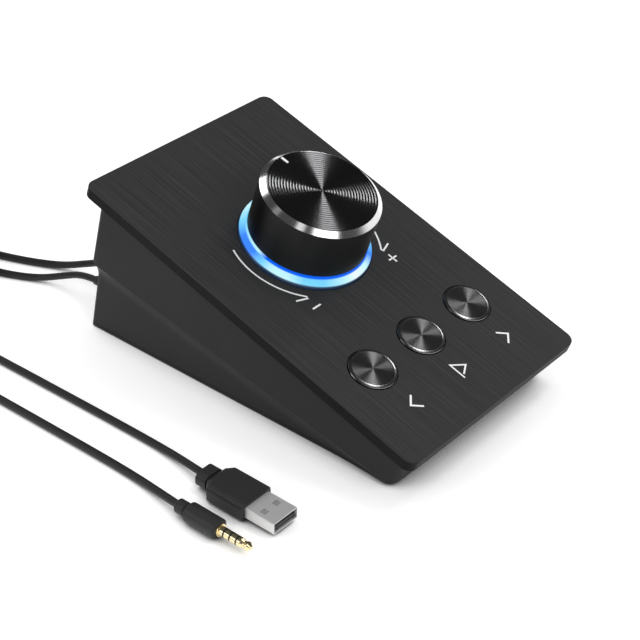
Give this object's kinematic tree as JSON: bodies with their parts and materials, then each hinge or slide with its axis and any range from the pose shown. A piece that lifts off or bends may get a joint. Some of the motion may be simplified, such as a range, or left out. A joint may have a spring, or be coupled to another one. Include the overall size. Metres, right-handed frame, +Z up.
{
  "type": "usb volume control knob",
  "caption": "Sloping desk volume control: brushed plate, large turned knob over a light ring, round push buttons, and two cords ending in a USB plug and an audio plug.",
  "frame": {"origin": "on the desk, under the middle of the unit's footprint without its cords", "axes": "+Z up from the desk, +Y to the tall rear end where the cords leave, +X to the right of a user who faces the low front end"},
  "size_m": [0.1563, 0.2997, 0.0791],
  "materials": {
    "moulded_shell": "fine moulded grain",
    "foot_rubber": "soft matt pads",
    "plated_screws": "zinc plated steel",
    "brushed_plate": "black anodised, brushed along its length",
    "turned_knob": "black anodised, turned grooves and a bright bevel",
    "pointer_inlay": "pale filled line",
    "inner_plastic": "plain moulded",
    "encoder_metal": "pressed and plated",
    "encoder_shaft_metal": "milled flat",
    "ring_diffuser": "milky diffuser lit from below",
    "circuit_board": "green solder mask",
    "lamp": "small surface lamps",
    "header_plastic": "natural nylon",
    "chip_plastic": "moulded chip packages",
    "cord_rubber": "moulded soft plastic",
    "cord_jacket": "extruded soft jacket",
    "plug_steel": "plated pressed steel, satin",
    "tongue_plastic": "black insert",
    "gold": "bright gold plating",
    "turned_button": "black anodised, fine turned face and bright bevel"
  },
  "bodies": {
    "stand": {"housing": "moulded_shell", "bottom_cover": "moulded_shell", "rubber_feet": "foot_rubber", "cover_screws": "plated_screws", "top_plate": "brushed_plate", "encoder_body": "encoder_metal", "encoder_washer": "plated_screws", "encoder_nut": "plated_screws", "light_ring": "ring_diffuser", "light_board": "circuit_board", "ring_lamps": "lamp", "switch_bodies": "inner_plastic", "main_board": "circuit_board", "board_screws": "plated_screws", "cable_headers": "header_plastic", "board_chips": "chip_plastic", "usb_strain_relief": "cord_rubber", "audio_strain_relief": "cord_rubber", "usb_cord_tail": "cord_jacket", "usb_coil": "cord_jacket", "usb_cord_lead": "cord_jacket", "usb_grip": "cord_rubber", "usb_shell": "plug_steel", "usb_tongue": "tongue_plastic", "usb_contacts": "gold", "audio_cord_tail": "cord_jacket", "audio_coil": "cord_jacket", "audio_cord_lead": "cord_jacket", "audio_grip": "cord_rubber", "plug_sleeve": "gold", "plug_second_ring": "gold", "plug_first_ring": "gold", "plug_insulators": "inner_plastic", "plug_tip": "gold"},
    "spindle": {"encoder_rotor": "inner_plastic"},
    "knob": {"encoder_shaft": "encoder_shaft_metal", "knob_hub": "inner_plastic", "knob_cap": "turned_knob", "knob_pointer": "pointer_inlay"},
    "button_left": {"button_cap_left": "turned_button", "button_stem_left": "inner_plastic", "switch_plunger_left": "inner_plastic"},
    "button_middle": {"button_cap_middle": "turned_button", "button_stem_middle": "inner_plastic", "switch_plunger_middle": "inner_plastic"},
    "button_right": {"button_cap_right": "turned_button", "button_stem_right": "inner_plastic", "switch_plunger_right": "inner_plastic"}
  },
  "joints": [
    {"name": "knob_turn", "type": "hinge", "parent": "stand", "child": "spindle", "pos_m": [0, 0.00864, 0.04863], "axis": [0, -0.309, 0.9511], "continuous": true},
    {"name": "knob_press", "type": "slide", "parent": "spindle", "child": "knob", "axis": [0, -0.309, 0.9511], "range_m": [-0.0005, 0], "stiffness_N_per_m": 5000, "springref_m": 0.0004},
    {"name": "button_press_left", "type": "slide", "parent": "stand", "child": "button_left", "axis": [0, -0.309, 0.9511], "range_m": [-0.0005, 0], "stiffness_N_per_m": 3000, "springref_m": 0.0004},
    {"name": "button_press_middle", "type": "slide", "parent": "stand", "child": "button_middle", "axis": [0, -0.309, 0.9511], "range_m": [-0.0005, 0], "stiffness_N_per_m": 3000, "springref_m": 0.0004},
    {"name": "button_press_right", "type": "slide", "parent": "stand", "child": "button_right", "axis": [0, -0.309, 0.9511], "range_m": [-0.0005, 0], "stiffness_N_per_m": 3000, "springref_m": 0.0004}
  ]
}
